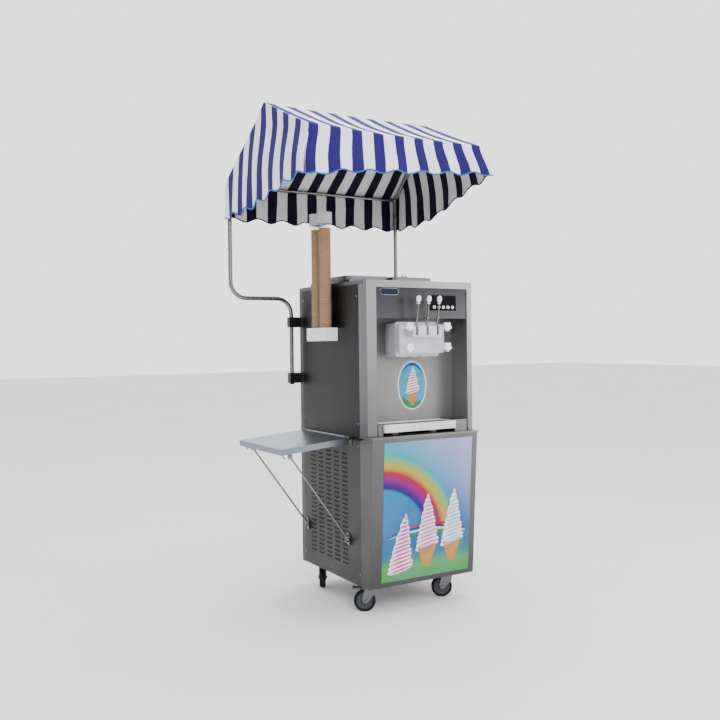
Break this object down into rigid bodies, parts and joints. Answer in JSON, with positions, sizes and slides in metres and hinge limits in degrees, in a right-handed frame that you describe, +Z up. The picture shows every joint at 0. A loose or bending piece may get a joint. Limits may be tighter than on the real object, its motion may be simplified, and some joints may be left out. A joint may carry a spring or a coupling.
{
  "type": "soft serve machine",
  "caption": "Floor-standing soft serve machine on casters with draw levers, drip tray, folding side shelf, cone dispenser and striped canopy.",
  "frame": {"origin": "centre of the whole machine's footprint, at floor level", "axes": "+Z up, front towards -Y, +X to the right seen from the front"},
  "size_m": [0.945, 0.8034, 2.168],
  "materials": {
    "stainless": "brushed",
    "cabinet_grey": "satin",
    "trim_dark": "satin",
    "graphic": "gloss",
    "black_plastic": "matt",
    "white_plastic": "gloss",
    "clear_plastic": "clear",
    "wafer": "crisp",
    "chrome_wire": "polished",
    "grey_tube": "satin",
    "canopy_cloth": "striped cloth",
    "fin_aluminium": "satin",
    "caster_steel": "zinc plated",
    "tyre": "matt"
  },
  "bodies": {
    "cabinet": {"top_panel": "stainless", "front_frame": "stainless", "recess_liner": "stainless", "control_panel": "stainless", "front_ledge": "stainless", "hoppers": "stainless", "freezing_unit": "stainless", "side_left_upper": "cabinet_grey", "side_left_lower": "cabinet_grey", "side_right": "cabinet_grey", "rear_panel": "cabinet_grey", "front_panel": "cabinet_grey", "corner_trims": "trim_dark", "base_frame": "trim_dark", "compressor": "trim_dark", "shelf_rail": "trim_dark", "graphic_panel": "graphic", "display_bezel": "black_plastic", "post_clamps": "black_plastic", "dispensing_head": "white_plastic", "cone_base": "white_plastic", "cone_tubes": "clear_plastic", "wafer_stack": "wafer", "strut_clips": "chrome_wire", "left_post": "grey_tube", "right_post": "grey_tube", "hood_frame": "grey_tube", "canopy": "canopy_cloth", "condenser": "fin_aluminium"},
    "lever_1": {"lever_1": "chrome_wire"},
    "lever_2": {"lever_2": "chrome_wire"},
    "lever_3": {"lever_3": "chrome_wire"},
    "button_1": {"button_1": "white_plastic"},
    "button_2": {"button_2": "white_plastic"},
    "button_3": {"button_3": "white_plastic"},
    "button_4": {"button_4": "white_plastic"},
    "button_5": {"button_5": "white_plastic"},
    "star_knob_1": {"star_knob_1": "white_plastic"},
    "star_knob_2": {"star_knob_2": "white_plastic"},
    "star_knob_3": {"star_knob_3": "white_plastic"},
    "star_knob_4": {"star_knob_4": "white_plastic"},
    "drip_tray": {"drip_tray": "white_plastic"},
    "lid_left": {"lid_left": "white_plastic"},
    "lid_right": {"lid_right": "white_plastic"},
    "cone_cap": {"cone_cap": "clear_plastic"},
    "shelf": {"shelf": "cabinet_grey"},
    "struts": {"struts": "chrome_wire"},
    "beater_left": {"beater_left": "stainless"},
    "beater_right": {"beater_right": "stainless"},
    "fan": {"fan": "black_plastic"},
    "pedal_fl": {"pedal_fl": "caster_steel"},
    "pedal_fr": {"pedal_fr": "caster_steel"},
    "fork_fl": {"fork_fl": "caster_steel"},
    "wheel_fl": {"wheel_fl": "tyre"},
    "fork_fr": {"fork_fr": "caster_steel"},
    "wheel_fr": {"wheel_fr": "tyre"},
    "fork_rl": {"fork_rl": "caster_steel"},
    "wheel_rl": {"wheel_rl": "tyre"},
    "fork_rr": {"fork_rr": "caster_steel"},
    "wheel_rr": {"wheel_rr": "tyre"}
  },
  "joints": [
    {"name": "lever_1_pull", "type": "hinge", "parent": "cabinet", "child": "lever_1", "pos_m": [0.1135, -0.2835, 1.206], "axis": [1, 0, 0], "range_deg": [0, 32], "stiffness_Nm_per_rad": 1, "springref_deg": -17.19},
    {"name": "lever_2_pull", "type": "hinge", "parent": "cabinet", "child": "lever_2", "pos_m": [0.1675, -0.2835, 1.206], "axis": [1, 0, 0], "range_deg": [0, 32], "stiffness_Nm_per_rad": 1, "springref_deg": -17.19},
    {"name": "lever_3_pull", "type": "hinge", "parent": "cabinet", "child": "lever_3", "pos_m": [0.2215, -0.2835, 1.206], "axis": [1, 0, 0], "range_deg": [0, 32], "stiffness_Nm_per_rad": 1, "springref_deg": -17.19},
    {"name": "button_1_press", "type": "slide", "parent": "cabinet", "child": "button_1", "axis": [0, 1, 0], "range_m": [0, 0.0015], "stiffness_N_per_m": 400, "springref_m": -0.001},
    {"name": "button_2_press", "type": "slide", "parent": "cabinet", "child": "button_2", "axis": [0, 1, 0], "range_m": [0, 0.0015], "stiffness_N_per_m": 400, "springref_m": -0.001},
    {"name": "button_3_press", "type": "slide", "parent": "cabinet", "child": "button_3", "axis": [0, 1, 0], "range_m": [0, 0.0015], "stiffness_N_per_m": 400, "springref_m": -0.001},
    {"name": "button_4_press", "type": "slide", "parent": "cabinet", "child": "button_4", "axis": [0, 1, 0], "range_m": [0, 0.0015], "stiffness_N_per_m": 400, "springref_m": -0.001},
    {"name": "button_5_press", "type": "slide", "parent": "cabinet", "child": "button_5", "axis": [0, 1, 0], "range_m": [0, 0.0015], "stiffness_N_per_m": 400, "springref_m": -0.001},
    {"name": "star_knob_1_turn", "type": "hinge", "parent": "cabinet", "child": "star_knob_1", "pos_m": [0.0685, -0.2695, 1.224], "axis": [0, -1, 0], "continuous": true},
    {"name": "star_knob_2_turn", "type": "hinge", "parent": "cabinet", "child": "star_knob_2", "pos_m": [0.2665, -0.2695, 1.224], "axis": [0, -1, 0], "continuous": true},
    {"name": "star_knob_3_turn", "type": "hinge", "parent": "cabinet", "child": "star_knob_3", "pos_m": [0.0685, -0.2695, 1.136], "axis": [0, -1, 0], "continuous": true},
    {"name": "star_knob_4_turn", "type": "hinge", "parent": "cabinet", "child": "star_knob_4", "pos_m": [0.2665, -0.2695, 1.136], "axis": [0, -1, 0], "continuous": true},
    {"name": "drip_tray_pull", "type": "slide", "parent": "cabinet", "child": "drip_tray", "axis": [0, -1, 0], "range_m": [0, 0.09]},
    {"name": "lid_left_lift", "type": "slide", "parent": "cabinet", "child": "lid_left", "axis": [0, 0, 1], "range_m": [0, 0.1]},
    {"name": "lid_right_lift", "type": "slide", "parent": "cabinet", "child": "lid_right", "axis": [0, 0, 1], "range_m": [0, 0.1]},
    {"name": "cone_cap_lift", "type": "slide", "parent": "cabinet", "child": "cone_cap", "axis": [0, 0, 1], "range_m": [0, 0.06]},
    {"name": "shelf_fold", "type": "hinge", "parent": "cabinet", "child": "shelf", "pos_m": [-0.1175, 0.1015, 0.748], "axis": [0, 1, 0], "range_deg": [0, 92]},
    {"name": "struts_swing", "type": "hinge", "parent": "shelf", "child": "struts", "pos_m": [-0.40378, 0.1015, 0.69284], "axis": [0, 1, 0], "range_deg": [-56, 0]},
    {"name": "beater_left_spin", "type": "hinge", "parent": "cabinet", "child": "beater_left", "pos_m": [0.1125, 0.0505, 1.171], "axis": [0, 1, 0], "continuous": true},
    {"name": "beater_right_spin", "type": "hinge", "parent": "cabinet", "child": "beater_right", "pos_m": [0.2225, 0.0505, 1.171], "axis": [0, 1, 0], "continuous": true},
    {"name": "fan_spin", "type": "hinge", "parent": "cabinet", "child": "fan", "pos_m": [0.3025, -0.0395, 0.276], "axis": [0, 1, 0], "continuous": true},
    {"name": "swivel_fl", "type": "hinge", "parent": "cabinet", "child": "fork_fl", "pos_m": [-0.0455, -0.1615, 0.1], "axis": [0, 0, 1], "continuous": true},
    {"name": "roll_fl", "type": "hinge", "parent": "fork_fl", "child": "wheel_fl", "pos_m": [-0.07122, -0.14605, 0.047], "axis": [-0.515, -0.8572, 0], "continuous": true},
    {"name": "brake_fl", "type": "hinge", "parent": "fork_fl", "child": "pedal_fl", "pos_m": [-0.06436, -0.15017, 0.099], "axis": [-0.515, -0.8572, 0], "range_deg": [0, 5], "stiffness_Nm_per_rad": 2, "springref_deg": -2.86},
    {"name": "swivel_fr", "type": "hinge", "parent": "cabinet", "child": "fork_fr", "pos_m": [0.3605, -0.1655, 0.1], "axis": [0, 0, 1], "continuous": true},
    {"name": "roll_fr", "type": "hinge", "parent": "fork_fr", "child": "wheel_fr", "pos_m": [0.33478, -0.15005, 0.047], "axis": [-0.515, -0.8572, 0], "continuous": true},
    {"name": "brake_fr", "type": "hinge", "parent": "fork_fr", "child": "pedal_fr", "pos_m": [0.34164, -0.15417, 0.099], "axis": [-0.515, -0.8572, 0], "range_deg": [0, 5], "stiffness_Nm_per_rad": 2, "springref_deg": -2.86},
    {"name": "swivel_rl", "type": "hinge", "parent": "cabinet", "child": "fork_rl", "pos_m": [-0.0355, 0.3005, 0.1], "axis": [0, 0, 1], "continuous": true},
    {"name": "roll_rl", "type": "hinge", "parent": "fork_rl", "child": "wheel_rl", "pos_m": [-0.0514, 0.27506, 0.047], "axis": [0.848, -0.5299, 0], "continuous": true},
    {"name": "swivel_rr", "type": "hinge", "parent": "cabinet", "child": "fork_rr", "pos_m": [0.3725, 0.3005, 0.1], "axis": [0, 0, 1], "continuous": true},
    {"name": "roll_rr", "type": "hinge", "parent": "fork_rr", "child": "wheel_rr", "pos_m": [0.34431, 0.29024, 0.047], "axis": [0.342, -0.9397, 0], "continuous": true}
  ],
  "couplings": [
    {"joint": "struts_swing", "follows": "shelf_fold", "ratio": -0.6}
  ]
}
